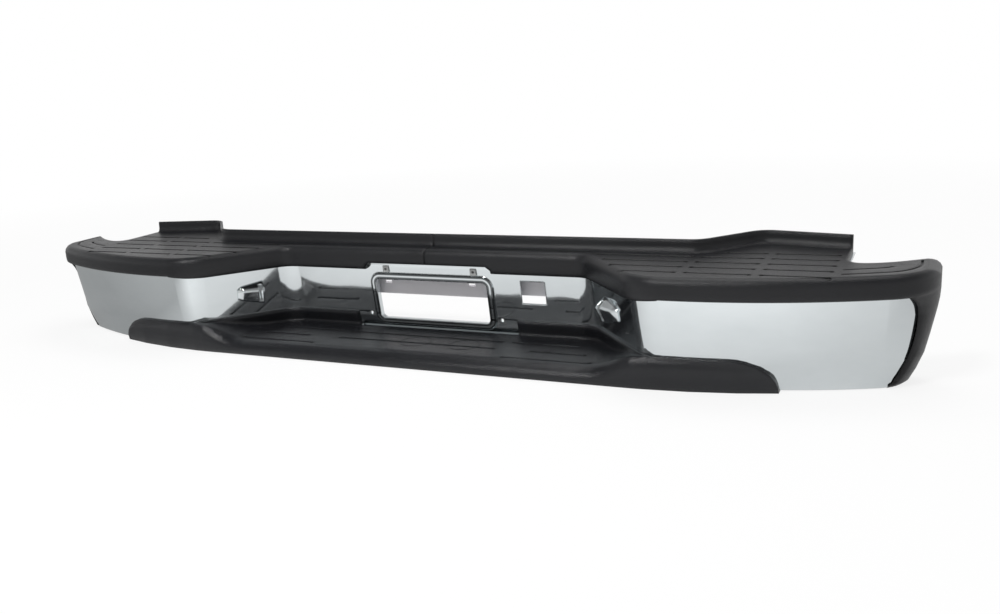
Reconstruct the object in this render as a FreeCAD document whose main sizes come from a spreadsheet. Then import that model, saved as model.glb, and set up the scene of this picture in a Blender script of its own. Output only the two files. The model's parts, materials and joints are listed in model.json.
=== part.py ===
import FreeCAD, Part
import math
import os

# Rear step bumper of a pickup truck. X runs to the right seen from behind the truck, Y runs
# forward to the vehicle, Z up. The lowest edges lie on Z = 0 and the middle of the length and
# of the depth is the origin. Sizes are in millimetres.

doc = FreeCAD.newDocument("step_bumper")
sheet = doc.addObject("Spreadsheet::Sheet", "sizes")

# Driving sizes
SIZES = [
    # place of the plate recess wall in the frame of the bumper
    ("recess_y", -23.5),
    # pressed face: the front line seen from above, at the height where the pad nose ends
    ("recess_half", 285.0),
    ("inner_bend", 45.0),
    ("side_wall_angle", 49.0),
    ("panel_depth", 145.0),
    ("outer_bend", 70.0),
    ("panel_sweep", 800.0),
    ("panel_end_x", 777.0),
    ("corner_bend", 85.0),
    ("side_end_y", 34.0),
    ("sheet_steel", 2.0),
    ("face_top", 168.0),
    ("nose_low", 144.0),
    ("crease_height", 44.0),
    ("crease_in", 13.0),
    ("face_low", 8.0),
    ("low_in", 24.5),
    ("hem_in", 31.0),
    ("hem_wide", 19.0),
    # rear edge of the top shelf and pads seen from above
    ("rear_y", 34.0),
    ("shelf_margin", 12.0),
    ("rear_straight", 466.0),
    ("rear_bend", 40.0),
    ("rear_angle", 50.0),
    ("rear_slope_length", 84.0),
    ("rear_return_angle", 12.0),
    ("lip_end_x", 712.0),
    ("notch_y", -8.0),
    # top pads
    ("pad_skin", 4.0),
    ("pad_top", 178.0),
    ("lip_top", 199.0),
    ("lip_thick", 5.0),
    ("nose_proud", 13.0),
    ("nose_drop", 6.0),
    ("seam_gap", 1.2),
    ("rib_thick", 3.0),
    ("tread_pitch_x", 110.0),
    ("tread_pitch_y", 37.5),
    ("tread_first_y", 36.0),
    ("tread_wide", 4.0),
    ("tread_deep", 2.0),
    ("tread_edge_x", 487.0),
    ("divider_wide", 10.0),
    ("cap_edge_x", 814.0),
    ("cap_blend_turn", 50.0),
    # lower step pad
    ("step_front_y", -143.0),
    ("step_straight", 400.0),
    ("step_sweep", 865.0),
    ("step_half", 632.0),
    ("step_end_fall", 72.0),
    ("step_top", 24.0),
    ("step_skin", 4.0),
    ("apron_back", 31.0),
    ("lobe_top", 51.0),
    ("wing_thick", 4.0),
    ("wing_start", 165.0),
    ("dish_start", 330.0),
    ("dish_long", 104.0),
    ("step_back_y", 12.0),
    ("step_groove_y", -33.0),
    ("step_groove_pitch", 40.0),
    ("knockout_side", 57.0),
    ("knockout_pitch", 95.0),
    ("knockout_y", -64.0),
    # number plate recess
    ("plate_hole_pitch", 178.0),
    ("plate_hole_height", 138.0),
    ("plate_hole_side", 10.0),
    ("opening_wide", 226.0),
    ("opening_low", 42.0),
    ("opening_high", 118.5),
    ("opening_corner", 9.0),
    ("bead_wide", 12.0),
    ("bead_proud", 4.0),
    ("opening_return", 7.0),
    ("drain_x", 135.0),
    ("drain_height", 50.0),
    ("drain_bore", 5.0),
    ("socket_hole_x", 200.0),
    ("socket_hole_low", 84.0),
    ("socket_hole_wide", 45.0),
    ("socket_hole_tall", 40.0),
    ("tab_half", 119.0),
    ("tab_top", 151.0),
    # lamps on the side walls
    ("lamp_along", 58.0),
    ("lamp_height", 94.0),
    ("hood_long", 49.0),
    ("hood_tall", 48.0),
    ("hood_proud", 20.0),
    ("hood_wall", 2.0),
    ("socket_bore", 24.0),
    # impact bar
    ("beam_end_inset", 76.0),
    ("beam_y", 24.0),
    ("beam_low", 94.0),
    ("beam_deep", 46.0),
    ("beam_steel", 3.0),
    ("beam_apron_half", 150.0),
    ("beam_apron_drop", 8.0),
    ("beam_slot_left", 100.0),
    ("beam_slot_right", 73.0),
    # frame brackets and end gussets
    ("bracket_x", 380.0),
    ("bracket_steel", 6.0),
    ("bracket_rear_y", 205.0),
    ("foot_wide", 62.0),
    ("frame_hole_pitch", 70.0),
    ("frame_hole_bore", 13.0),
    ("frame_hole_height", 112.0),
    ("gusset_steel", 4.0),
    ("gusset_flange", 34.0),
    ("strut_x", 215.0),
    ("bolt_shank", 10.0),
    ("small_bolt_shank", 8.0),
    ("clip_shank", 7.0),
]

row = 1
for alias, number in SIZES:
    sheet.set("A%d" % row, alias)
    sheet.set("B%d" % row, str(number))
    sheet.setAlias("B%d" % row, alias)
    row += 1
doc.recompute()


def size(alias):
    return float(getattr(sheet, alias))


V = FreeCAD.Vector
UP = V(0, 0, 1)
steel = size("sheet_steel")


# A plan line is walked from a start point by straight runs and bends. The value "out" shifts the
# whole line to its right hand side, so that parallel lines share their bend centres.
def walk(start, heading, moves, out, z):
    edges = []
    px, py = start
    angle = math.radians(heading)
    for move in moves:
        nx, ny = math.sin(angle), -math.cos(angle)
        first = V(px + out * nx, py + out * ny, z)
        if move[0] == "run":
            px += move[1] * math.cos(angle)
            py += move[1] * math.sin(angle)
            last = V(px + out * nx, py + out * ny, z)
            edges.append(Part.makeLine(first, last))
            continue
        bend, turn = move[1], math.radians(move[2])
        side = 1.0 if turn > 0 else -1.0
        cx, cy = px - side * bend * nx, py - side * bend * ny
        reach = bend + side * out
        points = []
        for part in (0.0, 0.5, 1.0):
            now = angle + turn * part
            points.append(V(cx + side * reach * math.sin(now), cy - side * reach * math.cos(now), z))
        edges.append(Part.Arc(points[0], points[1], points[2]).toShape())
        angle += turn
        px = cx + side * bend * math.sin(angle)
        py = cy - side * bend * math.cos(angle)
    return edges


def mirrored(edges):
    flipped = []
    for edge in reversed(edges):
        flipped.append(edge.mirror(V(0, 0, 0), V(1, 0, 0)))
    return flipped


# Ends of a walked line, in the direction of walking
def first_point(edge):
    return edge.valueAt(edge.FirstParameter)


def last_point(edge):
    return edge.valueAt(edge.LastParameter)


# Closed plan outline: a line on both sides of the middle, closed by a straight back line
def closed_plan(right, back_y, z):
    end = last_point(right[-1])
    low = V(end.x, back_y, z)
    far = V(-end.x, back_y, z)
    left = V(-end.x, end.y, z)
    edges = list(right)
    edges.append(Part.makeLine(end, low))
    edges.append(Part.makeLine(low, far))
    edges.append(Part.makeLine(far, left))
    edges.extend(mirrored(right))
    return Part.Wire(Part.__sortEdges__(edges))


def stacked(wires):
    return Part.makeLoft(wires, True, True)


def prism(wire, height):
    return Part.Face(wire).extrude(V(0, 0, height))


# Front line of the pressed face
alpha = size("side_wall_angle")
drop = size("panel_depth")
bend_in = size("inner_bend")
bend_out = size("outer_bend")
rad = math.radians(alpha)
wall_run = (drop - (bend_in + bend_out) * (1 - math.cos(rad))) / math.sin(rad)
panel_start_x = size("recess_half") + (bend_in + bend_out) * math.sin(rad) + wall_run * math.cos(rad)
sweep_turn = math.degrees(math.asin((size("panel_end_x") - panel_start_x) / size("panel_sweep")))
panel_end_y = -drop + size("panel_sweep") * (1 - math.cos(math.radians(sweep_turn)))
corner = size("corner_bend")
side_start_y = panel_end_y + corner * math.cos(math.radians(sweep_turn))
side_x = size("panel_end_x") + corner * (1 - math.sin(math.radians(sweep_turn)))
FRONT = [
    ("run", size("recess_half")),
    ("bend", bend_in, -alpha),
    ("run", wall_run),
    ("bend", bend_out, alpha),
    ("bend", size("panel_sweep"), sweep_turn),
    ("bend", corner, 90.0 - sweep_turn),
    ("run", size("side_end_y") - side_start_y),
]


def front_plan(out, z, back_y):
    return closed_plan(walk((0.0, 0.0), 0.0, FRONT, out, z), back_y, z)


def front_block(levels, back_y):
    return stacked([front_plan(out, z, back_y) for z, out in levels])


# How far the pressed face stands behind its front line at a height
FACE = [
    (0.0, -size("hem_in")),
    (2.5, -size("low_in") - 2.5),
    (size("face_low"), -size("low_in")),
    (size("crease_height"), -size("crease_in")),
    (size("nose_low"), 0.0),
    (size("face_top") - 7.0, 0.0),
    (size("face_top") - 2.0, -1.8),
    (size("face_top"), -6.0),
]


def face_in(z):
    for (z0, a), (z1, b) in zip(FACE, FACE[1:]):
        if z0 <= z <= z1:
            return a + (b - a) * (z - z0) / (z1 - z0)
    return FACE[-1][1]


# Rear edge of shelf and pads: straight behind the recess, then back round the wide outer steps
rear_angle = size("rear_angle")
rr = math.radians(rear_angle)
back_turn = size("rear_return_angle")
back_rad = math.radians(back_turn)
rear_bend_x = size("rear_straight") + size("rear_bend") * (2 * math.sin(rr) + math.sin(back_rad))
rear_bend_x += size("rear_slope_length") * math.cos(rr)
last_run = (size("lip_end_x") - rear_bend_x) / math.cos(back_rad)
REAR = [
    ("run", size("rear_straight")),
    ("bend", size("rear_bend"), rear_angle),
    ("run", size("rear_slope_length")),
    ("bend", size("rear_bend"), -rear_angle - back_turn),
    ("run", last_run),
]


def rear_line(out, z):
    return walk((0.0, size("rear_y")), 0.0, REAR, out, z)


# Region in front of the rear edge, with the open notch for the body side at each end
def plan_region(out, low, high):
    right = rear_line(out, low)
    end = last_point(right[-1])
    notch = size("notch_y")
    tip = size("side_end_y")
    p1 = V(end.x, notch + 18, low)
    p2 = V(end.x + 14, notch - 2, low)
    p3 = V(end.x + 45, notch + 2, low)
    p4 = V(end.x + 78, notch + 19, low)
    p5 = V(side_x + 30, tip + 18, low)
    p6 = V(side_x + 30, -400, low)
    curve = Part.BSplineCurve()
    curve.interpolate([p1, p2, p3, p4, p5])
    edges = list(right)
    edges.append(Part.makeLine(end, p1))
    edges.append(curve.toShape())
    edges.append(Part.makeLine(p5, p6))
    edges.append(Part.makeLine(p6, V(-p6.x, p6.y, low)))
    edges.extend(mirrored(edges[:-1]))
    wire = Part.Wire(Part.__sortEdges__(edges))
    return prism(wire, high - low)


def block(x0, x1, y0, y1, z0, z1):
    return Part.makeBox(x1 - x0, y1 - y0, z1 - z0, V(x0, y0, z0))


# Closed outline drawn in the XZ plane and drawn out along Y
def front_view_prism(points, y0, y1):
    wire = Part.makePolygon([V(x, y0, z) for x, z in points + points[:1]])
    return Part.Face(wire).extrude(V(0, y1 - y0, 0))


def side_view_prism(points, x0, x1):
    wire = Part.makePolygon([V(x0, y, z) for y, z in points + points[:1]])
    return Part.Face(wire).extrude(V(x1 - x0, 0, 0))


def both_sides(shape):
    return [shape, shape.mirror(V(0, 0, 0), V(1, 0, 0))]


# A finished piece moves with the place of the recess wall
def settle(piece, label):
    piece.Label = label
    piece.setExpression("Placement.Base.y", "sizes.recess_y")
    return piece


def formed(name, shape):
    piece = doc.addObject("Part::Feature", name)
    piece.Shape = shape
    return piece


pieces = []
deep_back = 320.0
face_solid = front_block(FACE, deep_back)

# Front line of the lower step pad
step_run = size("step_straight")
step_turn = math.degrees(math.asin((size("step_half") + 40.0 - step_run) / size("step_sweep")))
STEP = [("run", step_run), ("bend", size("step_sweep"), step_turn)]


def step_plan(out, z):
    right = walk((0.0, size("step_front_y")), 0.0, STEP, out, z)
    return closed_plan(right, 60.0, z)


# Pressed chrome face: folded sheet with a flat top shelf, hemmed foot and an apron for the step
hollow = [(z, face_in(z) - steel) for z in (2.0, size("face_low"), size("crease_height"), size("nose_low"))]
hollow.append((size("face_top") - 7.0, -steel))
hollow.append((size("face_top") - steel, -6.5))
inner_high = front_block(hollow, deep_back + 60)
inner_low = front_block([(-5.0, -size("hem_in") - size("hem_wide")), (2.0, -size("hem_in") - size("hem_wide"))],
                        deep_back + 60)
cavity = inner_high.fuse(inner_low)
region = plan_region(-size("shelf_margin"), -5.0, size("face_top"))
panel = face_solid.common(region).cut(cavity)

shelf_out = -size("apron_back")
shelf_top = size("step_top") - size("step_skin")
shelf_reach = size("dish_start") + 70.0
shelf = prism(step_plan(shelf_out, shelf_top - steel), steel)
lip = prism(step_plan(shelf_out, 0.0), shelf_top).cut(prism(step_plan(shelf_out - steel, -1.0), shelf_top + 2))
trim = block(-shelf_reach, shelf_reach, -300, 25, -1, shelf_top + 1)
apron = shelf.fuse(lip).common(trim).cut(face_solid)
panel = panel.fuse(apron).removeSplitter()

# Number plate opening, leaning with the wall
lean = math.degrees(math.atan(size("crease_in") / (size("nose_low") - size("crease_height"))))


def wall_y(z):
    return -face_in(z)


def rounded_box(name, x, y, z, length, width, height, radius):
    box = doc.addObject("Part::Box", name + "_block")
    for field, text in zip(("Length", "Width", "Height"), (length, width, height)):
        box.setExpression(field, text)
    box.setExpression("Placement.Base.x", x)
    box.setExpression("Placement.Base.y", y)
    box.setExpression("Placement.Base.z", z)
    doc.recompute()
    chosen = []
    for number, edge in enumerate(box.Shape.Edges, 1):
        if abs(edge.BoundBox.XLength) < 1e-6 and abs(edge.BoundBox.ZLength) < 1e-6:
            chosen.append((number, radius, radius))
    soft = doc.addObject("Part::Fillet", name)
    soft.Base = box
    soft.Edges = chosen
    doc.recompute()
    return soft


corner_r = size("opening_corner")
opening = rounded_box("plate_opening", "-sizes.opening_wide / 2", "-60", "sizes.opening_low", "sizes.opening_wide",
                      "120", "sizes.opening_high - sizes.opening_low", corner_r)
bead_out = rounded_box("bead_outline", "-sizes.opening_wide / 2 - sizes.bead_wide", "-60",
                       "sizes.opening_low - sizes.bead_wide", "sizes.opening_wide + 2 * sizes.bead_wide", "120",
                       "sizes.opening_high - sizes.opening_low + 2 * sizes.bead_wide", corner_r + size("bead_wide"))
lean_slope = math.tan(math.radians(lean))
slab_low = size("opening_low") - size("bead_wide") - 5
slab_high = size("opening_high") + size("bead_wide") + 5
fronts = []
for z in (slab_low, slab_high):
    fronts.append((lean_slope * (size("nose_low") - z) - size("bead_proud"), z))
slab = side_view_prism([fronts[0], (60.0, slab_low), (60.0, slab_high), fronts[1]], -300, 300)
bead = bead_out.Shape.common(slab)
bead_edges = []
for edge in bead.Edges:
    middle = edge.valueAt((edge.FirstParameter + edge.LastParameter) / 2)
    front_here = lean_slope * (size("nose_low") - middle.z) - size("bead_proud")
    if abs(middle.y - front_here) < 0.01:
        bead_edges.append(edge)
bead = bead.makeFillet(3.0, bead_edges)
behind = []
for z in (slab_low, slab_high):
    behind.append((lean_slope * (size("nose_low") - z) + size("opening_return"), z))
rear_side = side_view_prism([behind[0], (90.0, slab_low), (90.0, slab_high), behind[1]], -300, 300)
inside = block(-size("opening_wide") / 2 - steel, size("opening_wide") / 2 + steel, -60, 60,
               size("opening_low") - steel, size("opening_high") + steel)
flange = bead.common(inside).cut(rear_side)
bead = bead.cut(cavity).fuse(flange)
bead_piece = formed("plate_bead", bead)
panel_piece = formed("pressed_panel", panel)
face_body = doc.addObject("Part::MultiFuse", "face_with_bead")
face_body.Shapes = [panel_piece, bead_piece]
tools = [opening]


def wall_hole(name, x, z, wide, tall):
    tool = doc.addObject("Part::Box", name)
    tool.setExpression("Length", wide)
    tool.setExpression("Height", tall)
    tool.Width = 60
    tool.setExpression("Placement.Base.x", x + " - (" + wide + ") / 2")
    tool.setExpression("Placement.Base.y", "-20")
    tool.setExpression("Placement.Base.z", z)
    tools.append(tool)


def wall_bore(name, x):
    tool = doc.addObject("Part::Cylinder", name)
    tool.setExpression("Radius", "sizes.drain_bore / 2")
    tool.Height = 50
    tool.Placement = FreeCAD.Placement(V(0, 0, 0), FreeCAD.Rotation(V(1, 0, 0), -90))
    tool.setExpression("Placement.Base.x", x)
    tool.setExpression("Placement.Base.y", "-15")
    tool.setExpression("Placement.Base.z", "sizes.drain_height")
    tools.append(tool)


nut_low = "sizes.plate_hole_height - sizes.plate_hole_side / 2"
wall_hole("nut_hole_left", "-sizes.plate_hole_pitch / 2", nut_low, "sizes.plate_hole_side", "sizes.plate_hole_side")
wall_hole("nut_hole_right", "sizes.plate_hole_pitch / 2", nut_low, "sizes.plate_hole_side", "sizes.plate_hole_side")
wall_hole("socket_hole", "sizes.socket_hole_x", "sizes.socket_hole_low", "sizes.socket_hole_wide",
          "sizes.socket_hole_tall")
wall_bore("drain_left", "-sizes.drain_x")
wall_bore("drain_right", "sizes.drain_x")

# Place and direction of the lamps on the slanted side walls
lamp_x = size("recess_half") + bend_in * math.sin(rad) + size("lamp_along") * math.cos(rad)
lamp_y = -bend_in * (1 - math.cos(rad)) - size("lamp_along") * math.sin(rad)
lamp_z = size("lamp_height")
lamp_sink = wall_y(lamp_z)
lamp_at = V(lamp_x + lamp_sink * math.sin(rad), lamp_y + lamp_sink * math.cos(rad), lamp_z)
lamp_turn = FreeCAD.Rotation(UP, -alpha)


# Carry a form drawn about the wall point of the right lamp, along the wall and out of it (-Y), into place
def at_lamp(shape):
    placed = shape.copy()
    placed.Placement = FreeCAD.Placement(lamp_at, lamp_turn).multiply(placed.Placement)
    return placed


lamp_bore = at_lamp(Part.makeCylinder(size("socket_bore") / 2, 30, V(0, -12, 0), V(0, 1, 0)))
for side, tool_shape in zip(("right", "left"), both_sides(lamp_bore)):
    tools.append(formed("lamp_bore_" + side, tool_shape))

# Bolt places on the top shelf
bar_bolt_x = [150.0, 330.0]
gusset_bolt_y = [-70.0, 20.0]
beam_half = size("lip_end_x") - size("beam_end_inset")
gusset_bolt_x = beam_half + size("gusset_steel") + size("gusset_flange") / 2
beam_bolt_y = size("beam_y") + 10.2
shelf_bores = []
for sx in (-1, 1):
    for x in bar_bolt_x:
        shelf_bores.append((sx * x, beam_bolt_y))
    for y in gusset_bolt_y:
        shelf_bores.append((sx * gusset_bolt_x, y))
bores = []
for x, y in shelf_bores:
    bores.append(Part.makeCylinder(size("small_bolt_shank") / 2, 40, V(x, y, size("face_top") - 20), UP))
clip_places = [(60.0, 18.0), (240.0, 18.0), (395.0, 12.0), (520.0, -95.0), (570.0, 98.0), (700.0, -60.0), (700.0, 80.0)]
clip_half = size("clip_shank") / 2


def clip_slot(x, y, z, high):
    return block(x - clip_half, x + clip_half, y - clip_half * 0.6, y + clip_half * 0.6, z, z + high)


for x, y in clip_places:
    for sx in (-1, 1):
        bores.append(clip_slot(sx * x, y, size("face_top") - 6, 10))
step_clips = [(50.0, -20.0), (250.0, -60.0), (352.0, -97.0)]
for x, y in step_clips:
    for sx in (-1, 1):
        bores.append(clip_slot(sx * x, y, shelf_top - 6, 10))
tools.append(formed("shelf_bores", Part.makeCompound(bores)))

cutters = doc.addObject("Part::MultiFuse", "face_cutters")
cutters.Shapes = tools
face_bar = doc.addObject("Part::Cut", "face_bar_cut")
face_bar.Base = face_body
face_bar.Tool = cutters
doc.recompute()
pieces.append(settle(face_bar, "face_bar"))

# Top pads: bull nose in front, flat treaded top, raised rear lip, corner cap down each end
nose = size("nose_proud")
low = size("nose_low")
top = size("pad_top")
NOSE = [
    (low, nose - 4.0),
    (low + 2.5, nose - 1.0),
    (low + 7.0, nose),
    (top - 12.0, nose),
    (top - 6.5, nose - 1.6),
    (top - 2.2, nose - 5.5),
    (top, nose - 11.0),
]
pad = front_block(NOSE, deep_back).common(plan_region(0.0, low, top))

# The nose hangs lower in the recess
hang = low - size("nose_drop")
skirt = front_block([(hang, nose - 5.0), (hang + 2.5, nose - 1.5), (low + 7.0, nose)], deep_back)
skirt = skirt.cut(front_block([(hang - 1, 0.0), (low + 8, 0.0)], deep_back + 40))
skirt_zone = front_view_prism([(-panel_start_x, low + 7), (-panel_start_x, low), (-panel_start_x + 60, hang),
                               (panel_start_x - 60, hang), (panel_start_x, low), (panel_start_x, low + 7)], -300, 60)
skirt = skirt.common(skirt_zone)


def lip_band(levels):
    wires = []
    for z, wide in levels:
        outer = rear_line(0.0, z)
        inner = rear_line(wide, z)
        edges = outer + mirrored(outer) + inner + mirrored(inner)
        end, inner_end = last_point(outer[-1]), last_point(inner[-1])
        join = Part.makeLine(end, inner_end)
        edges.append(join)
        edges.extend(mirrored([join]))
        wires.append(Part.Wire(Part.__sortEdges__(edges)))
    return stacked(wires)


lip_top = size("lip_top")
thick = size("lip_thick")
band = lip_band([(top - 4.0, thick + 7.0), (top, thick + 7.0), (top + 3.0, thick + 3.0), (top + 8.0, thick + 0.8),
                 (lip_top - 1.2, thick), (lip_top, thick - 1.2)])


# Corner cap: it stands out most at the side and sinks to a thin rim where it meets the chrome.
# Each level gives its height, how far it stands out at the side and how far at the rim.
CAP = [
    (0.4, -29.5, -29.0),
    (5.0, -23.5, -23.5),
    (21.0, -15.0, -17.5),
    (46.0, -5.0, -10.0),
    (76.0, 2.0, -6.0),
    (112.0, 9.5, -1.5),
    (128.0, 12.0, 3.0),
    (low, nose, 9.0),
    (low + 8.0, nose, nose),
]
side_share = math.sin(math.radians(90.0 - sweep_turn))
rim_share = math.sin(math.radians(size("cap_blend_turn") - sweep_turn))


def cap_plan(z, at_side, at_rim):
    swell = (at_side - at_rim) / (side_share - rim_share) + 0.5
    out = at_side - swell * side_share
    moves = FRONT[:5] + [("run", swell), FRONT[5]]
    moves.append(("run", FRONT[6][1] - swell * math.sin(math.radians(sweep_turn))))
    return closed_plan(walk((0.0, 0.0), 0.0, moves, out, z), deep_back, z)


cap_x = size("cap_edge_x")
cap_rim = Part.BSplineCurve()
cap_rim.interpolate([V(cap_x - 40, -300, -2), V(cap_x - 22, -300, 26), V(cap_x - 9, -300, 57), V(cap_x - 2, -300, 90),
                     V(cap_x - 1, -300, 118), V(cap_x - 6, -300, low - 6), V(cap_x - 22, -300, low + 3),
                     V(cap_x - 45, -300, low + 8)])
rim_low, rim_high = V(cap_x - 40, -300, -2), V(cap_x - 45, -300, low + 8)
far_low, far_high = V(cap_x + 90, -300, -2), V(cap_x + 90, -300, low + 8)
cap_outline = [cap_rim.toShape(), Part.makeLine(rim_high, far_high), Part.makeLine(far_high, far_low),
               Part.makeLine(far_low, rim_low)]
cap_zone = Part.Face(Part.Wire(Part.__sortEdges__(cap_outline))).extrude(V(0, 600, 0))
tip = size("side_end_y")
cap_rear = side_view_prism([(-400.0, -5.0), (4.0, -5.0), (tip, low), (tip, 200.0), (-400.0, 200.0)], 0, 1000)
cap = stacked([cap_plan(z, at_side, at_rim) for z, at_side, at_rim in CAP]).common(cap_zone).common(cap_rear)
lifted = front_block([(z, face_in(z) + 1.6) for z in (1.0, size("face_low"), size("crease_height"), low - 6.0)], deep_back)
inner_zone = cap_zone.copy()
inner_zone.translate(V(6, 0, 0))
cap = cap.cut(lifted.common(cap_zone.cut(inner_zone)))
shoulder_x = side_x + nose
shoulder = [(shoulder_x - 22, top + 1), (shoulder_x - 20, top), (shoulder_x - 14, top - 1.2), (shoulder_x - 8, top - 3.6),
            (shoulder_x - 3, top - 8), (shoulder_x, top - 14), (shoulder_x + 9, top - 14), (shoulder_x + 9, top + 1)]
shoulders = front_view_prism(shoulder, -300, 300)
pad = pad.fuse([band, skirt] + both_sides(cap)).cut(face_solid).cut(both_sides(shoulders))

skin_low = top - size("pad_skin")
under = front_block([(size("face_top") - 1, -10.0), (skin_low, -10.0)], deep_back)
shifted = plan_region(1.0, size("face_top") - 1, skin_low)
shifted.translate(V(0, -4, 0))
under = under.common(shifted).common(block(-side_x + 14, side_x - 14, -300, 300, 0, 300))
end_wall = block(size("lip_end_x") - 4, size("lip_end_x") + 200, size("notch_y") - 4, 300, 0, 300)
under = under.cut(both_sides(end_wall))
pockets = []
for x in bar_bolt_x:
    pockets.append(block(x - 8.5, x + 8.5, 15, 60, size("face_top") - 1, skin_low))
ribs = []
rib = size("rib_thick")
for x in (90.0, 200.0, 290.0, 440.0, 490.0, 590.0, 684.0, 735.0):
    ribs.append(block(x, x + rib, -300, 300, 0, 300))
    ribs.append(block(-x - rib, -x, -300, 300, 0, 300))
for y in (-40.0, 40.0, 110.0):
    ribs.append(block(440.0, 735.0, y, y + rib, 0, 300))
    ribs.append(block(-735.0, -440.0, y, y + rib, 0, 300))
ribs.append(block(-20, 20, -300, 300, 0, 300))
under = under.cut(ribs).fuse(both_sides(Part.makeCompound(pockets)))
pad = pad.cut(under)

tab = size("tab_half")
tab_room = front_view_prism([(-tab - 9, low - 10), (-tab - 9, low), (-tab, size("tab_top")), (tab, size("tab_top")),
                             (tab + 9, low), (tab + 9, low - 10)], -200, 40)
pad = pad.cut(tab_room)

# Tread grooves in three blocks a side
deep = size("tread_deep")
wide = size("tread_wide")
pitch_x = size("tread_pitch_x")
pitch_y = size("tread_pitch_y")
edge_x = size("tread_edge_x")
gap = size("divider_wide") / 2


# One groove: a straight channel with a small round pit at each end
def groove(x0, x1, y, z, depth, width):
    half = width / 2
    pit = width
    start = math.degrees(math.asin(half / pit))
    ring = []
    for centre_x, facing in ((x1 - pit, 180.0), (x0 + pit, 0.0)):
        for turn in (start, 90.0, 150.0, -150.0, -90.0, -start):
            now = math.radians(facing - turn)
            ring.append(V(centre_x + pit * math.cos(now), y + pit * math.sin(now), z - depth))
    return prism(Part.makePolygon(ring + ring[:1]), depth + 2)


grooves = []
rows = [size("tread_first_y") - pitch_y * n for n in range(5)]
block_start = [525.0, 320.0, 341.0, 364.0, 390.0]
for n, y in enumerate(rows):
    if n > 0:
        grooves.append(groove(block_start[n], edge_x - gap, y, top, deep, wide))
    middle_start = max(edge_x + gap, block_start[n])
    grooves.append(groove(middle_start, edge_x + pitch_x - gap, y, top, deep, wide))
    grooves.append(groove(edge_x + pitch_x + gap, edge_x + 2 * pitch_x - gap, y, top, deep, wide))


# Bent grooves that follow the outer corner
def corner_groove(inset, from_x, to_y):
    outer = front_block([(top - deep, -inset), (top + 2, -inset)], 100)
    inner = front_block([(top - deep - 1, -inset - wide), (top + 3, -inset - wide)], 120)
    zone = block(from_x, 900, -300, to_y, 0, 300)
    return outer.common(zone).cut(inner)


grooves.append(corner_groove(12.0, edge_x + 2 * pitch_x + gap, 20.0))
grooves.append(corner_groove(40.0, edge_x + 2 * pitch_x + gap, -28.0))
pad = pad.cut(Part.makeCompound(grooves)).cut(Part.makeCompound(grooves).mirror(V(0, 0, 0), V(1, 0, 0)))

half_gap = size("seam_gap") / 2
for side, x0, x1 in (("left", -1200.0, -half_gap), ("right", half_gap, 1200.0)):
    half = pad.common(block(x0, x1, -400, 400, -10, 400)).removeSplitter()
    pieces.append(settle(formed("pad_" + side, half), "top_pad_" + side))

# Lower step pad: lofted across the width from a low rounded step to taller lobes over the panels
STEP_NOSE = [(0.0, 0.0), (1.5, 6.0), (0.0, 12.0), (-6.0, 17.5), (-15.0, 21.5), (-28.0, 24.0)]
LOBE_NOSE = [(0.0, 0.0), (3.0, 10.0), (4.0, 21.0), (2.5, 32.0), (-1.0, 40.0), (-6.0, 46.0)]
step_front = size("step_front_y")
step_z = size("step_top")
lobe_z = size("lobe_top")


def step_front_y(x):
    past = max(0.0, x - size("step_straight"))
    reach = size("step_sweep")
    return step_front + reach - math.sqrt(reach * reach - past * past)


# Section across the pad at one place of its length; skin is how far the inside stands back
def step_section(x, rise, skin, back):
    points = []
    for (a, za), (b, zb) in zip(STEP_NOSE, LOBE_NOSE):
        za, zb = za * step_z / STEP_NOSE[-1][1], zb * lobe_z / LOBE_NOSE[-1][1]
        out = a + (b - a) * rise
        z = za + (zb - za) * rise
        points.append((step_front_y(abs(x)) - out, z))
    low, high = points[0], points[-1]
    inside = []
    for y, z in points:
        inside.append((y + skin, z - skin * (z - low[1]) / (high[1] - low[1])))
    drop_low = -1.0 if skin else 0.0
    first = (inside[0][0], drop_low)
    ring = [first] + inside[1:] + [(back, inside[-1][1]), (back, drop_low)]
    return Part.makePolygon([V(x, y, z) for y, z in ring + ring[:1]])


dish = size("dish_start")
rise_long = size("dish_long")
STATIONS = [(0.0, 0.0), (dish, 0.0)]
for share, rise in ((0.21, 0.08), (0.42, 0.32), (0.6, 0.62), (0.79, 0.9), (1.0, 1.0)):
    STATIONS.append((dish + share * rise_long, rise))
lobe_long = size("step_half") + 10.0 - dish - rise_long
for share in (0.33, 0.67, 1.0):
    STATIONS.append((dish + rise_long + share * lobe_long, 1.0))


def step_body(skin, back):
    right = stacked([step_section(x, rise, skin, back) for x, rise in STATIONS])
    left = right.mirror(V(0, 0, 0), V(1, 0, 0))
    return right.fuse(left)


# Front view of the pad: flat across, each end falling away as a quarter of an ellipse
def end_zone(inset, y0, y1):
    half = size("step_half") - inset
    fall = size("step_end_fall") - inset * 0.5
    tall = lobe_z - inset
    points = [(half - fall, 80.0), (half - fall, tall)]
    for n in range(1, 9):
        turn = math.radians(90.0 * n / 8)
        points.append((half - fall + fall * math.sin(turn), tall * math.cos(turn)))
    points.append((half, -5.0))
    both = points + [(-x, z) for x, z in reversed(points)]
    return front_view_prism(both, y0, y1)


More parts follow.
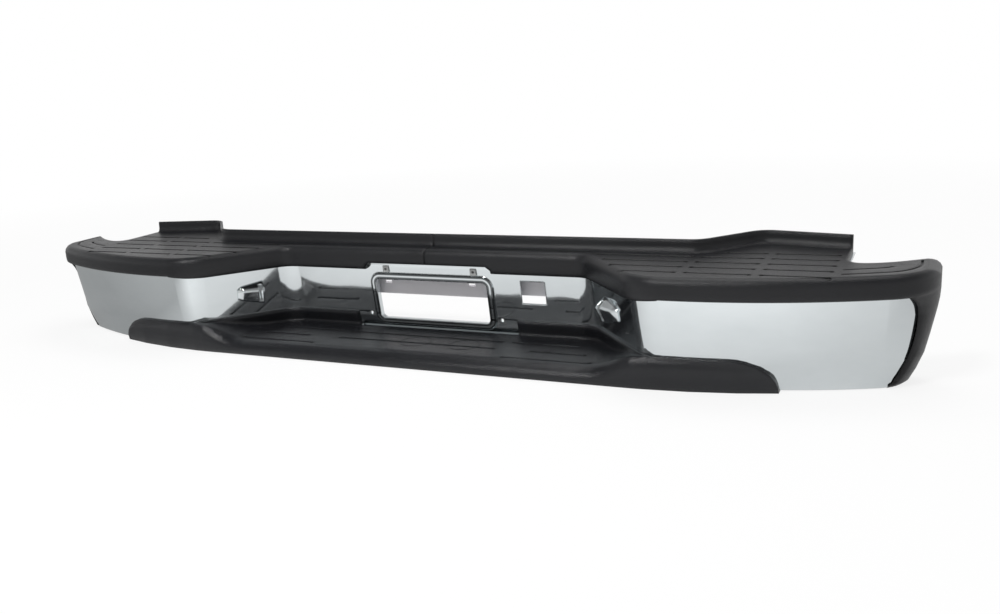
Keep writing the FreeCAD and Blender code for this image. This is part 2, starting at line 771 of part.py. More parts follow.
skin = size("step_skin")
outer_body = step_body(0.0, 60.0).common(end_zone(0.0, -400, 100))
inner_body = step_body(skin, 70.0).common(end_zone(skin, -400, 100))
wing_levels = [(z, face_in(z) + size("wing_thick")) for z in (step_z - skin, size("crease_height"), lobe_z)]
wing = front_block(wing_levels, 60.0)
start = size("wing_start")
wing = wing.common(block(start, size("step_half"), -300, 60, 0, 100)).common(end_zone(0.0, -400, 100))
wing = wing.fuse(wing.mirror(V(0, 0, 0), V(1, 0, 0)))
step_pad = outer_body.cut(inner_body).fuse(wing)
strip = block(-start + 3, start - 3, size("step_back_y"), 80, -5, 100)
step_pad = step_pad.cut(face_solid).cut(strip)
step_pad = step_pad.cut(block(-900, 900, -400, 100, -5, 0))

# Long grooves and round outlines pressed in the step
step_cuts = []
step_pitch = size("step_groove_pitch")
groove_y = size("step_groove_y")
for n, (x0, x1) in enumerate([(172.0, 296.0), (220.0, 322.0), (184.0, 345.0)]):
    y = groove_y - step_pitch * n
    if n < 2:
        step_cuts.append(groove(-start + 8, start - 8, y, step_z, 1.6, wide))
    step_cuts.append(groove(x0, x1, y, step_z, 1.6, wide))
    step_cuts.append(groove(-x1, -x0, y, step_z, 1.6, wide))
ring_r = size("knockout_side") / 2
for x in (0.0, size("knockout_pitch")):
    at = V(x, size("knockout_y"), step_z - 1.0)
    ring = Part.makeCylinder(ring_r, 4, at, UP).cut(Part.makeCylinder(ring_r - 2.0, 4, at, UP))
    step_cuts.append(ring)
for x, y in step_clips:
    for sign in (-1, 1):
        collar = clip_half + 3
        step_cuts.append(block(sign * x - collar, sign * x + collar, y - collar, y + collar, shelf_top, shelf_top + 2))
step_pad = step_pad.cut(panel).cut(Part.makeCompound(step_cuts)).removeSplitter()
pieces.append(settle(formed("step_pad", step_pad), "lower_step_pad"))

# Lamp hoods: tapered chrome housings on the slanted walls, open towards the plate
long = size("hood_long")
tall = size("hood_tall")
proud = size("hood_proud")
shell = size("hood_wall")


# Sections of the hood across its length: place, height and reach as shares, shift up
HOOD = [(-0.5, 1.0, 1.0, 0.0), (0.3, 0.68, 0.5, 1.5), (0.5, 0.5, 0.1, 2.0)]


def hood_form(inset, mouth_past):
    wires = []
    for place, share_tall, share_out, shift in HOOD:
        x = place * long + (mouth_past if place < 0 else -inset)
        half = share_tall * tall / 2 - inset
        out = share_out * proud - inset
        ring = [(12.0, half), (0.0, half), (-0.85 * out, 0.42 * half), (-out, 0.2 * half),
                (-0.48 * out, -0.8 * half), (0.0, -half), (12.0, -half)]
        points = [V(x, y, z + shift) for y, z in ring]
        wires.append(Part.makePolygon(points + points[:1]))
    return stacked(wires)


rim = -long / 2
hood_room = hood_form(shell, -1.0)
window = block(rim + 3.0, rim + 10.0, -60, -3.0, -tall * 0.34, tall * 0.3)
hood = at_lamp(hood_form(0.0, 0.0).cut([hood_room, window])).cut(face_solid)
lens = at_lamp(hood_room.common(block(rim + 1.5, rim + 11.0, -60, 20, -tall, tall))).cut(face_solid)
reach_in = size("socket_bore") / 2
holder = at_lamp(Part.makeCylinder(reach_in, 15, V(0, -4, 0), V(0, 1, 0)))
holder = holder.fuse(at_lamp(block(-reach_in * 0.6, reach_in * 0.6, 8, 24, -reach_in * 0.6, reach_in * 0.6)))
holder = holder.cut(at_lamp(block(-4, 4, 17, 30, -3, 3)))
bulb = at_lamp(Part.makeCylinder(2.6, 3.5, V(0, -4, 0), V(0, -1, 0)))
bulb = bulb.fuse(at_lamp(Part.makeCone(2.6, 1.2, 2, V(0, -7.5, 0), V(0, -1, 0))))
for name, form in (("lamp_hood", hood), ("lamp_lens", lens), ("lamp_socket", holder), ("lamp_bulb", bulb)):
    if not form.Placement.isIdentity():
        raise RuntimeError("form keeps a placement of its own: " + name)
    for side, shape in zip(("right", "left"), both_sides(form)):
        pieces.append(settle(formed(name + "_form_" + side, shape), name + "_" + side))

# Nylon nuts pressed into the square holes over the plate opening
hole_side = size("plate_hole_side")
for side, sign in (("left", -1), ("right", 1)):
    x, z = sign * size("plate_hole_pitch") / 2, size("plate_hole_height")
    flange = block(x - 5.8, x + 5.8, -1.6, 6, z - 5.8, z + 5.8).cut(face_solid)
    shank = block(x - hole_side / 2, x + hole_side / 2, -1.0, 11, z - hole_side / 2, z + hole_side / 2)
    bore = Part.makeCylinder(2.4, 40, V(x, -10, z), V(0, 1, 0))
    nut = flange.fuse(shank).cut(bore).removeSplitter()
    pieces.append(settle(formed("plate_nut_form_" + side, nut), "plate_nut_" + side))


def bound(kind, name, sizes):
    item = doc.addObject(kind, name)
    for field in sizes:
        item.setExpression(field, sizes[field])
    return item


def bound_box(name, x, y, z, length, width, height):
    return bound("Part::Box", name, {"Length": length, "Width": width, "Height": height, "Placement.Base.x": x,
                                     "Placement.Base.y": y, "Placement.Base.z": z})


def joined(name, parts):
    item = doc.addObject("Part::MultiFuse", name)
    item.Shapes = parts
    item.Refine = True
    return item


def taken(name, base, tool):
    item = doc.addObject("Part::Cut", name)
    item.Base = base
    item.Tool = tool
    return item


# Impact bar: a channel open to the vehicle, deeper behind the plate recess
beam_top = "(sizes.face_top - sizes.sheet_steel)"
beam_start = "-(sizes.lip_end_x - sizes.beam_end_inset)"
beam_long = "2 * (sizes.lip_end_x - sizes.beam_end_inset)"
web = bound_box("beam_web", beam_start, "sizes.beam_y", "sizes.beam_low", beam_long, "sizes.beam_steel",
                beam_top + " - sizes.beam_low")
apron_web = bound_box("beam_apron", "-sizes.beam_apron_half", "sizes.beam_y", "sizes.beam_low - sizes.beam_apron_drop",
                      "2 * sizes.beam_apron_half", "sizes.beam_steel", "sizes.beam_apron_drop + 1")
upper = bound_box("beam_upper", beam_start, "sizes.beam_y", beam_top + " - sizes.beam_steel", beam_long,
                  "sizes.beam_deep", "sizes.beam_steel")
lower = bound_box("beam_lower", beam_start, "sizes.beam_y", "sizes.beam_low", beam_long, "sizes.beam_deep",
                  "sizes.beam_steel")
beam = joined("beam_channel", [web, apron_web, upper, lower])
slots = []
for side, centre in (("left", "-sizes.beam_slot_left"), ("right", "sizes.beam_slot_right")):
    slots.append(bound_box("beam_slot_" + side, centre + " - 7", "sizes.beam_y - 5", "105", "14", "15", "6"))
for side, sign in (("left", -1), ("right", 1)):
    for offset in (-1, 1):
        for z in (108.0, 145.0):
            bolt_hole = Part.makeCylinder(size("bolt_shank") / 2, 20,
                                          V(sign * size("bracket_x") + offset * 20, size("beam_y") - 8, z), V(0, 1, 0))
            slots.append(formed("beam_bore", bolt_hole))
    for x in bar_bolt_x:
        bore = Part.makeCylinder(size("small_bolt_shank") / 2, 20, V(sign * x, beam_bolt_y, size("face_top") - 15), UP)
        slots.append(formed("beam_top_bore", bore))
impact_bar = taken("impact_bar_cut", beam, joined("beam_cutters", slots))
pieces.append(settle(impact_bar, "impact_bar"))

# Frame brackets: foot plate against the web of the bar, arm running forward to the frame rail
arm_low = size("beam_low") + size("beam_steel") + 2.0
arm_high = size("face_top") - steel - size("beam_steel") - 2.0
beam_back = size("beam_y") + size("beam_deep")
web_back = size("beam_y") + size("beam_steel")
for side, sign in (("left", -1), ("right", 1)):
    plate = size("bracket_steel")
    x = size("bracket_x")
    foot_half = size("foot_wide") / 2
    foot = block(x - foot_half, x + foot_half, web_back, web_back + plate, arm_low, arm_high)
    rear = size("bracket_rear_y")
    outline = [(web_back, arm_low), (web_back, arm_high), (beam_back + 4, arm_high), (rear - 12, arm_high - 16),
               (rear, arm_high - 28), (rear, arm_low - 2), (rear - 14, arm_low - 12), (beam_back + 24, arm_low - 12),
               (beam_back + 4, arm_low)]
    arm = side_view_prism(outline, x - plate / 2, x + plate / 2)
    rest = foot.fuse(arm)
    cuts = []
    for offset in (-1, 1):
        for z in (108.0, 145.0):
            cuts.append(Part.makeCylinder(size("bolt_shank") / 2, 30, V(x + offset * 20, web_back - 10, z), V(0, 1, 0)))
    frame_y = rear - 25
    for y in (frame_y, frame_y - size("frame_hole_pitch")):
        bore = Part.makeCylinder(size("frame_hole_bore") / 2, 30, V(x - 15, y, size("frame_hole_height")), V(1, 0, 0))
        cuts.append(bore)
    bracket = rest.cut(cuts).removeSplitter()
    if sign < 0:
        bracket = bracket.mirror(V(0, 0, 0), V(1, 0, 0))
    pieces.append(settle(formed("bracket_form_" + side, bracket), "frame_bracket_" + side))

# End gussets: a rib under the shelf at each end of the bar, flanged outward and bolted up
gx = beam_half
g_steel = size("gusset_steel")
under_shelf = size("face_top") - steel
gusset_outline = [(-108.0, under_shelf), (150.0 - 32.0, under_shelf), (118.0, under_shelf - 20),
                  (size("beam_y") + size("beam_deep") + 4, size("beam_low") - 4), (0.0, 52.0), (-60.0, 60.0),
                  (-104.0, 118.0)]
for side, sign in (("left", -1), ("right", 1)):
    rib_plate = side_view_prism(gusset_outline, gx, gx + g_steel)
    flange = block(gx, gx + g_steel + size("gusset_flange"), -95, 95, under_shelf - g_steel, under_shelf)
    gusset = rib_plate.fuse(flange)
    window = Part.makeCylinder(22, 20, V(gx - 5, -45, 112), V(1, 0, 0))
    holes = [window]
    for y in gusset_bolt_y:
        holes.append(Part.makeCylinder(size("small_bolt_shank") / 2, 20, V(gusset_bolt_x, y, under_shelf - 10), UP))
    gusset = gusset.cut(holes).removeSplitter()
    if sign < 0:
        gusset = gusset.mirror(V(0, 0, 0), V(1, 0, 0))
    pieces.append(settle(formed("gusset_form_" + side, gusset), "end_gusset_" + side))

# Step struts: upright webs that carry the apron under the step
for side, sign in (("left", -1), ("right", 1)):
    for_x = sign * size("strut_x")
    strut_front = size("step_front_y") + size("apron_back") + steel
    strut_outline = [(strut_front, 3.0), (strut_front, shelf_top - steel), (20.0, shelf_top - steel), (20.0, 3.0)]
    strut = side_view_prism(strut_outline, for_x - 1.5, for_x + 1.5).cut(face_solid)
    pieces.append(settle(formed("strut_form_" + side, strut), "step_strut_" + side))


# Fasteners
def hexagon(across, height, at, direction):
    points = []
    for n in range(7):
        turn = math.radians(60 * n)
        points.append(V(across / 2 / math.cos(math.radians(30)) * math.cos(turn),
                        across / 2 / math.cos(math.radians(30)) * math.sin(turn), 0))
    nut = Part.Face(Part.makePolygon(points)).extrude(V(0, 0, height))
    nut.Placement = FreeCAD.Placement(at, FreeCAD.Rotation(UP, direction))
    return nut


def bolt(at, direction, shank, head_across, head_high, length):
    body = Part.makeCylinder(shank / 2, length, at, direction)
    start_at = V(at.x, at.y, at.z)
    start_at = start_at.sub(V(direction).multiply(head_high))
    return body.fuse(hexagon(head_across, head_high, start_at, direction)).removeSplitter()


def round_bolt(at, direction, shank, head_wide, head_high, length):
    body = Part.makeCylinder(shank / 2, length, at, direction)
    start_at = at.sub(V(direction).multiply(head_high))
    cap_head = Part.makeCylinder(head_wide / 2, head_high, start_at, direction)
    return body.fuse(cap_head).removeSplitter()


def group(name, shapes):
    pieces.append(settle(formed(name + "_group", Part.makeCompound(shapes)), name))


ahead = V(0, 1, 0)
down = V(0, 0, -1)
foot_back = web_back + size("bracket_steel")
bracket_bolts = []
bracket_nuts = []
for sign in (-1, 1):
    for offset in (-1, 1):
        for z in (108.0, 145.0):
            x = sign * size("bracket_x") + offset * 20
            bracket_bolts.append(bolt(V(x, size("beam_y"), z), ahead, size("bolt_shank"), 16.0, 6.5, 26.0))
            ring = hexagon(16.0, 8.0, V(x, foot_back, z), ahead)
            bracket_nuts.append(ring.cut(Part.makeCylinder(size("bolt_shank") / 2, 20, V(x, foot_back - 5, z), ahead)))
group("bracket_bolts", bracket_bolts)
group("bracket_nuts", bracket_nuts)
shelf_bolts = []
shelf_nuts = []
for x, y in shelf_bores:
    flange_low = under_shelf - (g_steel if abs(x) > gx else size("beam_steel"))
    shelf_bolts.append(round_bolt(V(x, y, size("face_top")), down, size("small_bolt_shank"), 13.0, 4.0, 18.0))
    ring = hexagon(13.0, 6.5, V(x, y, flange_low), down)
    shelf_nuts.append(ring.cut(Part.makeCylinder(size("small_bolt_shank") / 2, 30, V(x, y, flange_low - 15), UP)))
group("shelf_bolts", shelf_bolts)
group("shelf_nuts", shelf_nuts)


# Push-in clips: a flat barbed shank under the sheet, with a square collar in the underside of the pad
def clip(x, y, sheet_top, head_top):
    foot = sheet_top - steel
    collar = block(x - clip_half - 3, x + clip_half + 3, y - clip_half - 3, y + clip_half + 3, sheet_top, head_top)
    shank = clip_slot(x, y, foot - 1, sheet_top - foot + 1)
    wires = []
    for z, half in ((foot - 6.0, 1.6), (foot, clip_half + 1.6)):
        ring = [V(x - half, y - 1.9, z), V(x + half, y - 1.9, z), V(x + half, y + 1.9, z), V(x - half, y + 1.9, z)]
        wires.append(Part.makePolygon(ring + ring[:1]))
    return shank.fuse([stacked(wires), collar]).removeSplitter()


pad_clips = []
for x, y in clip_places:
    for sign in (-1, 1):
        pad_clips.append(clip(sign * x, y, size("face_top"), skin_low))
group("top_pad_clips", pad_clips)
low_clips = []
for x, y in step_clips:
    for sign in (-1, 1):
        low_clips.append(clip(sign * x, y, shelf_top, shelf_top + 2.0))
group("step_pad_clips", low_clips)

doc.recompute()
for item in doc.Objects:
    if "Invalid" in item.State or "Error" in item.State:
        raise RuntimeError("object failed: " + item.Name)
labels = [piece.Label for piece in pieces]
if len(set(labels)) != len(labels):
    raise RuntimeError("two pieces share a name")
for piece in pieces:
    if piece.Shape.isNull() or not piece.Shape.isValid() or not piece.Shape.Solids:
        raise RuntimeError("no valid solid: " + piece.Label)

os.makedirs("parts", exist_ok=True)
for piece in pieces:
    piece.Shape.exportStep("parts/" + piece.Label + ".step")
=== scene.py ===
import bpy
import json
import math
from mathutils import Matrix, Vector

# Rear step bumper on a pale studio floor. All lengths are in metres.
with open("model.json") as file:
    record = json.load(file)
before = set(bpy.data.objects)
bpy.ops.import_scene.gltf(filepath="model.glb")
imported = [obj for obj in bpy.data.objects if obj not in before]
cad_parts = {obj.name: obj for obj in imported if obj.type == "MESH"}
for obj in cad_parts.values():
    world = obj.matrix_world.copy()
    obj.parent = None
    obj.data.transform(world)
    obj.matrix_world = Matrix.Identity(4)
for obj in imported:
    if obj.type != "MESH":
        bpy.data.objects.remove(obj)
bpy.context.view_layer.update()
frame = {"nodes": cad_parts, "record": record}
nodes = frame["nodes"]

# Plate opening in the face bar, and the two dark lines of painted reflection along its bead, standing
# in for
# the dark that its chrome reflects: the distance of each line's middle from the opening's edge, and
# half its width
OPENING_HALF_WIDE = 0.113
OPENING_HALF_TALL = 0.03825
OPENING_MIDDLE_HEIGHT = 0.08025
OPENING_CORNER = 0.009
BEAD_REFLECTION_LINES = ((0.0028, 0.0024), (0.0095, 0.0022))
BEAD_REFLECTION_FADE = 0.001

# Tread channels of the top pads, marked with painted shade and bump: rows at a pitch in Y, cut into
# blocks in X on each side
TREAD_ROW = 0.0125
TREAD_PITCH = 0.0375
TREAD_FRONT = -0.142
TREAD_BACK = 0.017
TREAD_SLANT_START = 0.3045
TREAD_SLANT = 0.622
LAST_ROW_FROM = -0.005
LAST_ROW_START = 0.525
INNER_BLOCK_END = 0.482
OUTER_BLOCKS = ((0.492, 0.592), (0.602, 0.702))
CHANNEL_HALF_WIDE = 0.0034
CHANNEL_FADE = 0.0012
PIT_LONG = 0.007
PIT_WIDER = 0.002
PAD_TOP = 0.1775
PAD_TOP_BAND = 0.003

# Floor
FLOOR_HALF = 9
FLOOR_DROP = 0.0005

# Camera at the viewing angle of the photograph, with its focal length in pixels
IMAGE_WIDE = 1000.0
SENSOR_WIDE = 36.0
FOCAL, YAW, PITCH, ROLL = 973.83023, 0.4384, 0.25338, 0.06208
CAMERA_PLACE = (0.84063, -1.52358, 0.50616)


# Short helpers for node materials
def new_material(name):
    material = bpy.data.materials.new(name)
    material.use_nodes = True
    tree = material.node_tree
    shader = tree.nodes["Principled BSDF"]
    place = tree.nodes.new("ShaderNodeTexCoord").outputs["Object"]
    return material, tree, shader, place


def join(tree, socket, value):
    if isinstance(value, bpy.types.NodeSocket):
        tree.links.new(value, socket)
    else:
        socket.default_value = value


def coordinates(tree, place):
    split = tree.nodes.new("ShaderNodeSeparateXYZ")
    tree.links.new(place, split.inputs[0])
    return split.outputs


def scaled(tree, place, sizes):
    step = tree.nodes.new("ShaderNodeMapping")
    step.inputs["Scale"].default_value = sizes
    tree.links.new(place, step.inputs["Vector"])
    return step.outputs["Vector"]


def noise(tree, place, scale, detail=3.0, rough=0.5):
    node = tree.nodes.new("ShaderNodeTexNoise")
    node.inputs["Scale"].default_value = scale
    node.inputs["Detail"].default_value = detail
    node.inputs["Roughness"].default_value = rough
    tree.links.new(place, node.inputs["Vector"])
    return node.outputs["Fac"]


def cells(tree, place, scale):
    node = tree.nodes.new("ShaderNodeTexVoronoi")
    node.inputs["Scale"].default_value = scale
    tree.links.new(place, node.inputs["Vector"])
    return node.outputs["Distance"]


# The value is clamped to the range that it comes from
def ramp(tree, value, source, target):
    node = tree.nodes.new("ShaderNodeMapRange")
    node.inputs["From Min"].default_value, node.inputs["From Max"].default_value = source
    node.inputs["To Min"].default_value, node.inputs["To Max"].default_value = target
    tree.links.new(value, node.inputs["Value"])
    return node.outputs["Result"]


# Each end is a colour of three numbers or the output of a node
def blend_colour(tree, share, low, high):
    node = tree.nodes.new("ShaderNodeMix")
    node.data_type = "RGBA"
    for socket, colour in ((node.inputs[6], low), (node.inputs[7], high)):
        join(tree, socket, (*colour, 1.0) if isinstance(colour, tuple) else colour)
    tree.links.new(share, node.inputs[0])
    return node.outputs[2]


def figure(tree, operation, *values):
    node = tree.nodes.new("ShaderNodeMath")
    node.operation = operation
    for socket, value in zip(node.inputs, values):
        join(tree, socket, value)
    return node.outputs[0]


def sums(tree, first, second, weight):
    return figure(tree, "MULTIPLY_ADD", second, weight, first)


def bump(tree, shader, height, strength, distance, rounding=0.0):
    node = tree.nodes.new("ShaderNodeBump")
    if rounding:
        soft_edge = tree.nodes.new("ShaderNodeBevel")
        soft_edge.samples = 6
        soft_edge.inputs["Radius"].default_value = rounding
        tree.links.new(soft_edge.outputs["Normal"], node.inputs["Normal"])
    node.inputs["Strength"].default_value = strength
    node.inputs["Distance"].default_value = distance
    tree.links.new(height, node.inputs["Height"])
    tree.links.new(node.outputs["Normal"], shader.inputs["Normal"])


def edge_wear(tree, source, target):
    geometry = tree.nodes.new("ShaderNodeNewGeometry")
    return ramp(tree, geometry.outputs["Pointiness"], source, target)


# Painted reflection: dark lines along the rounded edge of the plate opening, for the dark that its
# chrome bead reflects, from 0 beside them to 0.86 on them
def bead_painted_reflection(tree, place):
    x, _, z = coordinates(tree, place)
    height = figure(tree, "SUBTRACT", z, OPENING_MIDDLE_HEIGHT)
    squares = []
    for reach, half in ((x, OPENING_HALF_WIDE), (height, OPENING_HALF_TALL)):
        past = figure(tree, "SUBTRACT", figure(tree, "ABSOLUTE", reach), half - OPENING_CORNER)
        squares.append(figure(tree, "POWER", figure(tree, "MAXIMUM", past, 0.0), 2.0))
    from_corner = figure(tree, "SQRT", figure(tree, "ADD", *squares))
    from_edge = figure(tree, "SUBTRACT", from_corner, OPENING_CORNER)
    lines = 0.0
    for middle, half in BEAD_REFLECTION_LINES:
        off = figure(tree, "ABSOLUTE", figure(tree, "SUBTRACT", from_edge, middle))
        line = ramp(tree, off, (half, half - BEAD_REFLECTION_FADE), (0.0, 0.86))
        lines = figure(tree, "ADD", lines, line)
    return lines


# Chrome plate: bright, with the soft haze and slow ripple of pressed sheet, and painted dark
# reflection lines along the bead of the plate opening
def chrome_plate():
    material, tree, shader, place = new_material("chrome_plate")
    shader.inputs["Metallic"].default_value = 1.0
    haze = noise(tree, scaled(tree, place, (1.0, 1.0, 2.2)), 6.0, 4.0, 0.6)
    tint = blend_colour(tree, haze, (0.66, 0.705, 0.72), (0.82, 0.86, 0.875))
    # Painted reflection: the bead lines darken the chrome's colour
    tint = blend_colour(tree, bead_painted_reflection(tree, place), tint, (0.05, 0.055, 0.06))
    tree.links.new(tint, shader.inputs["Base Color"])
    fine = noise(tree, place, 90.0, 5.0, 0.65)
    gloss = ramp(tree, sums(tree, haze, fine, 0.35), (0.4, 0.95), (0.02, 0.1))
    tree.links.new(gloss, shader.inputs["Roughness"])
    wave = noise(tree, scaled(tree, place, (1.0, 1.0, 1.6)), 7.0, 2.0, 0.4)
    bump(tree, shader, sums(tree, wave, fine, 0.004), 0.35, 0.003, rounding=0.004)
    return material


# How far inside a tread channel a point of the top pads lies, from 0 outside to 1 inside
def tread_channels(tree, place):
    def within(value, low, high):
        over = figure(tree, "SUBTRACT", value, low)
        return figure(tree, "MINIMUM", over, figure(tree, "SUBTRACT", high, value))

    x, y, z = coordinates(tree, place)
    across = figure(tree, "ABSOLUTE", x)
    rows = figure(tree, "DIVIDE", figure(tree, "SUBTRACT", y, TREAD_ROW), TREAD_PITCH)
    off_row = figure(tree, "SUBTRACT", rows, figure(tree, "ROUND", rows))
    from_row = figure(tree, "MULTIPLY", figure(tree, "ABSOLUTE", off_row), TREAD_PITCH)
    slant = figure(tree, "MULTIPLY", y, TREAD_SLANT)
    in_last_row = figure(tree, "GREATER_THAN", y, LAST_ROW_FROM)
    last_start = figure(tree, "MULTIPLY", in_last_row, LAST_ROW_START)
    start = figure(tree, "MAXIMUM", figure(tree, "SUBTRACT", TREAD_SLANT_START, slant), last_start)
    blocks = figure(tree, "SUBTRACT", INNER_BLOCK_END, across)
    for low, high in OUTER_BLOCKS:
        blocks = figure(tree, "MAXIMUM", blocks, within(across, low, high))
    inside = figure(tree, "MINIMUM", blocks, figure(tree, "SUBTRACT", across, start))
    pit = figure(tree, "MULTIPLY", figure(tree, "LESS_THAN", inside, PIT_LONG), PIT_WIDER)
    half = figure(tree, "ADD", pit, CHANNEL_HALF_WIDE)
    depth = figure(tree, "MINIMUM", figure(tree, "SUBTRACT", half, from_row), inside)
    depth = figure(tree, "MINIMUM", depth, within(y, TREAD_FRONT, TREAD_BACK))
    share = ramp(tree, depth, (0.0, CHANNEL_FADE), (0.0, 1.0))
    near_top = figure(tree, "COMPARE", z, PAD_TOP, PAD_TOP_BAND)
    return figure(tree, "MULTIPLY", share, near_top)


# Moulded plastic: charcoal with a fine pebbled grain, and with painted shade in the tread channels
# when treads is set
def moulded(name, low, high, gloss, treads):
    material, tree, shader, place = new_material(name)
    patch = noise(tree, place, 9.0, 4.0, 0.6)
    wear = edge_wear(tree, (0.5, 0.56), (0.0, 0.35))
    tint = blend_colour(tree, sums(tree, patch, wear, 0.8), low, high)
    coarse = noise(tree, place, 420.0, 3.0, 0.6)
    surface = sums(tree, cells(tree, place, 900.0), coarse, 0.8)
    if treads:
        channel = tread_channels(tree, place)
        # Painted shade: the channels are darkened in colour, and they are drawn wider than the moulded
        # grooves
        channel_shade = figure(tree, "MULTIPLY", channel, 0.9)
        tint = blend_colour(tree, channel_shade, tint, (0.003, 0.003, 0.0035))
        surface = sums(tree, surface, channel, -5.0)
    tree.links.new(tint, shader.inputs["Base Color"])
    rough = ramp(tree, sums(tree, patch, coarse, 0.3), (0.4, 0.9), gloss)
    tree.links.new(rough, shader.inputs["Roughness"])
    shader.inputs["Specular IOR Level"].default_value = 0.4
    bump(tree, shader, surface, 0.5, 0.0004, rounding=0.009)
    return material


# Painted steel with slight orange peel and dust
def painted(name, low, high, gloss, peel):
    material, tree, shader, place = new_material(name)
    patch = noise(tree, place, 14.0, 5.0, 0.65)
    wear = edge_wear(tree, (0.52, 0.6), (0.0, 0.6))
    tint = blend_colour(tree, sums(tree, patch, wear, 0.7), low, high)
    tree.links.new(tint, shader.inputs["Base Color"])
    fine = noise(tree, place, peel, 3.0, 0.5)
    rough = ramp(tree, sums(tree, patch, fine, 0.4), (0.4, 1.0), gloss)
    tree.links.new(rough, shader.inputs["Roughness"])
    bump(tree, shader, fine, 0.25, 0.0004)
    return material


# Zinc plated fasteners
def zinc():
    material, tree, shader, place = new_material("zinc_plate")
    shader.inputs["Metallic"].default_value = 1.0
    patch = noise(tree, place, 120.0, 4.0, 0.6)
    tint = blend_colour(tree, patch, (0.5, 0.5, 0.47), (0.66, 0.66, 0.64))
    tree.links.new(tint, shader.inputs["Base Color"])
    turned = noise(tree, scaled(tree, place, (1.0, 1.0, 6.0)), 260.0, 4.0, 0.6)
    rough = ramp(tree, turned, (0.3, 0.7), (0.28, 0.45))
    tree.links.new(rough, shader.inputs["Roughness"])
    bump(tree, shader, turned, 0.2, 0.0003)
    return material


# Clear moulding of a lens or bulb, with faint flutes
def clear(name, tint, rough):
    material, tree, shader, place = new_material(name)
    patch = noise(tree, place, 60.0, 3.0, 0.5)
    lighter = tuple(min(1.0, part * 1.04) for part in tint)
    tree.links.new(blend_colour(tree, patch, tint, lighter), shader.inputs["Base Color"])
    shader.inputs["Transmission Weight"].default_value = 0.85
    shader.inputs["IOR"].default_value = 1.49
    rough_patch = ramp(tree, patch, (0.3, 0.7), (rough, rough + 0.08))
    tree.links.new(rough_patch, shader.inputs["Roughness"])
    flutes = noise(tree, scaled(tree, place, (1.0, 1.0, 3.0)), 300.0, 2.0, 0.5)
    bump(tree, shader, flutes, 0.3, 0.0004)
    return material


# Plain moulded nylon of nuts, clips and sockets
def nylon(name, low, high):
    material, tree, shader, place = new_material(name)
    patch = noise(tree, place, 150.0, 4.0, 0.6)
    tree.links.new(blend_colour(tree, patch, low, high), shader.inputs["Base Color"])
    rough = ramp(tree, patch, (0.3, 0.7), (0.38, 0.52))
    tree.links.new(rough, shader.inputs["Roughness"])
    bump(tree, shader, noise(tree, place, 800.0, 2.0, 0.5), 0.2, 0.0002)
    return material


PAD_GREYS = ((0.0045, 0.0048, 0.006), (0.011, 0.0115, 0.014))
STEP_SHEEN_GREYS = ((0.007, 0.0075, 0.009), (0.016, 0.017, 0.02))
# Painted light: the grey coat is given a colour far lighter than its own, so that the bar shows light
# though it sits in shade behind the face bar
COAT_LIT_GREYS = ((0.68, 0.665, 0.695), (0.76, 0.745, 0.775))
STEEL_GREYS = ((0.014, 0.014, 0.015), (0.05, 0.05, 0.052))
looks = {
    "chrome": chrome_plate(),
    "tread_plastic": moulded("tread_plastic", *PAD_GREYS, gloss=(0.28, 0.38), treads=True),
    "grey_coat": painted("grey_coat", *COAT_LIT_GREYS, gloss=(0.4, 0.55), peel=500.0),
    "black_steel": painted("black_steel", *STEEL_GREYS, gloss=(0.35, 0.6), peel=420.0),
    "zinc": zinc(),
    "lens": clear("lens", (0.93, 0.95, 0.96), 0.06),
    "bulb_glass": clear("bulb_glass", (0.96, 0.94, 0.88), 0.03),
    "black_plastic": nylon("black_plastic", (0.02, 0.02, 0.022), (0.04, 0.04, 0.042)),
    "nylon": nylon("nylon", (0.42, 0.43, 0.43), (0.5, 0.51, 0.5)),
    "clip_nylon": nylon("clip_nylon", (0.04, 0.04, 0.04), (0.07, 0.07, 0.07)),
}
for part in frame["record"]["subparts"]:
    mesh = nodes[part["node"]].data
    mesh.materials.clear()
    mesh.materials.append(looks[part["material_slot"]])
# The step pad is glossier than the top pads, and its colour is painted a shade lighter: a painted
# sheen for the light that it catches
step_sheen_look = moulded("step_plastic_sheen", *STEP_SHEEN_GREYS, gloss=(0.14, 0.24), treads=False)
nodes["lower_step_pad"].data.materials[0] = step_sheen_look

# Pale floor: it keeps the object's shadow near it and shows white further out
corners = [(-FLOOR_HALF, -FLOOR_HALF, 0), (FLOOR_HALF, -FLOOR_HALF, 0),
           (FLOOR_HALF, FLOOR_HALF, 0), (-FLOOR_HALF, FLOOR_HALF, 0)]
floor_mesh = bpy.data.meshes.new("floor")
floor_mesh.from_pydata(corners, [], [(0, 1, 2, 3)])
floor = bpy.data.objects.new("floor", floor_mesh)
bpy.context.scene.collection.objects.link(floor)
floor.location.z = -FLOOR_DROP
floor_look, tree, shader, place = new_material("studio_floor")
paper = noise(tree, place, 2.0, 3.0, 0.5)
paper_tint = blend_colour(tree, paper, (0.93, 0.93, 0.93), (0.97, 0.97, 0.97))
tree.links.new(paper_tint, shader.inputs["Base Color"])
shader.inputs["Roughness"].default_value = 0.9
path = tree.nodes.new("ShaderNodeLightPath").outputs
seen = figure(tree, "MAXIMUM", path["Is Camera Ray"], path["Is Transmission Ray"])
mirrored = path["Is Glossy Ray"]

# In polished metal the floor is brightest in front of the middle: each line is the axis, where
# the dimming starts and ends, and the share of light that is left there
FLOOR_DIMMING = ((0, 0.7, 1.2, 0.72), (1, -0.4, -0.2, 0.72), (1, -0.45, -0.85, 0.6))
spot = coordinates(tree, place)
glow = ramp(tree, spot[0], (-0.66, -0.42), (0.38, 1.0))
for axis, start, end, left in FLOOR_DIMMING:
    glow = figure(tree, "MULTIPLY", glow, ramp(tree, spot[axis], (start, end), (1.0, left)))
white = tree.nodes.new("ShaderNodeEmission")
strength = figure(tree, "ADD", seen, figure(tree, "MULTIPLY", mirrored, glow))
tree.links.new(strength, white.inputs["Strength"])

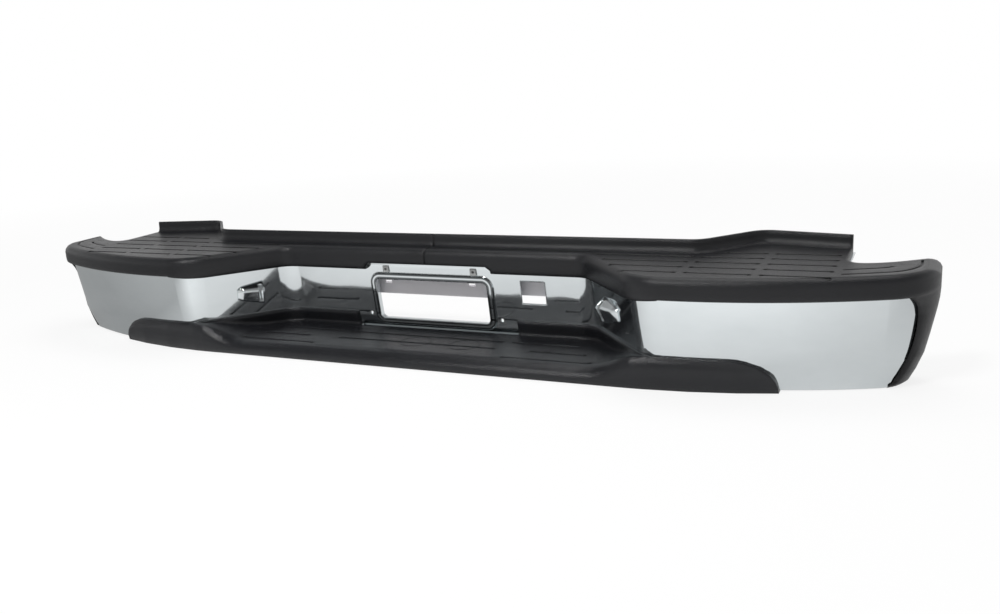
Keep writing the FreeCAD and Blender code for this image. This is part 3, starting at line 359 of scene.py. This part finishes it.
distance = tree.nodes.new("ShaderNodeVectorMath")
distance.operation = "LENGTH"
tree.links.new(place, distance.inputs[0])
whiter = ramp(tree, distance.outputs["Value"], (0.8, 3.0), (0.82, 1.0))
share = figure(tree, "MULTIPLY", figure(tree, "MAXIMUM", seen, mirrored), whiter)
mix = tree.nodes.new("ShaderNodeMixShader")
tree.links.new(share, mix.inputs["Fac"])
tree.links.new(shader.outputs[0], mix.inputs[1])
tree.links.new(white.outputs[0], mix.inputs[2])
tree.links.new(mix.outputs[0], tree.nodes["Material Output"].inputs["Surface"])
floor_mesh.materials.append(floor_look)

# White surround, with a sky that dims overhead in polished surfaces
world = bpy.data.worlds.new("studio")
bpy.context.scene.world = world
world.use_nodes = True
tree = world.node_tree
back = tree.nodes["Background"]
back.inputs["Color"].default_value = (1, 1, 1, 1)
path = tree.nodes.new("ShaderNodeLightPath").outputs
seen = figure(tree, "MAXIMUM", path["Is Camera Ray"], path["Is Transmission Ray"])
mirrored = path["Is Glossy Ray"]
towards = coordinates(tree, tree.nodes.new("ShaderNodeTexCoord").outputs["Generated"])
sky = figure(tree, "MULTIPLY", mirrored, ramp(tree, towards[2], (0.1, 0.7), (0.85, 0.22)))
plain = ramp(tree, seen, (0.0, 1.0), (0.45, 1.0))
rest = figure(tree, "MULTIPLY", plain, figure(tree, "SUBTRACT", 1.0, mirrored))
tree.links.new(figure(tree, "ADD", rest, sky), back.inputs["Strength"])


# A soft rectangular lamp, aimed at the middle of the bumper
def lamp(name, place, wide, deep, power):
    data = bpy.data.lights.new(name, "AREA")
    data.shape = "RECTANGLE"
    data.size = wide
    data.size_y = deep
    data.energy = power
    holder = bpy.data.objects.new(name, data)
    holder.location = place
    aim = Vector((0, 0, 0.1)) - Vector(place)
    holder.rotation_mode = "QUATERNION"
    holder.rotation_quaternion = aim.to_track_quat("-Z", "Y")
    bpy.context.scene.collection.objects.link(holder)


lamp("key_lamp", (-0.3, -1.9, 2.7), 0.7, 0.45, 44)
lamp("top_lamp", (0.4, 0.9, 2.8), 2.6, 1.2, 30)

forward = Vector((-math.sin(YAW) * math.cos(PITCH), math.cos(YAW) * math.cos(PITCH), -math.sin(PITCH)))
level_right = Vector((math.cos(YAW), math.sin(YAW), 0.0))
level_down = forward.cross(level_right)
right = math.cos(ROLL) * level_right + math.sin(ROLL) * level_down
down = -math.sin(ROLL) * level_right + math.cos(ROLL) * level_down
camera_data = bpy.data.cameras.new("camera")
camera_data.sensor_fit = "HORIZONTAL"
camera_data.sensor_width = SENSOR_WIDE
camera_data.lens = FOCAL / IMAGE_WIDE * SENSOR_WIDE
camera_data.clip_start = 0.05
camera = bpy.data.objects.new("camera", camera_data)
turn = Matrix((right, -down, -forward)).transposed()
camera.matrix_world = Matrix.Translation(CAMERA_PLACE) @ turn.to_4x4()
bpy.context.scene.collection.objects.link(camera)
bpy.context.scene.camera = camera

bpy.context.scene.view_settings.view_transform = "Standard"
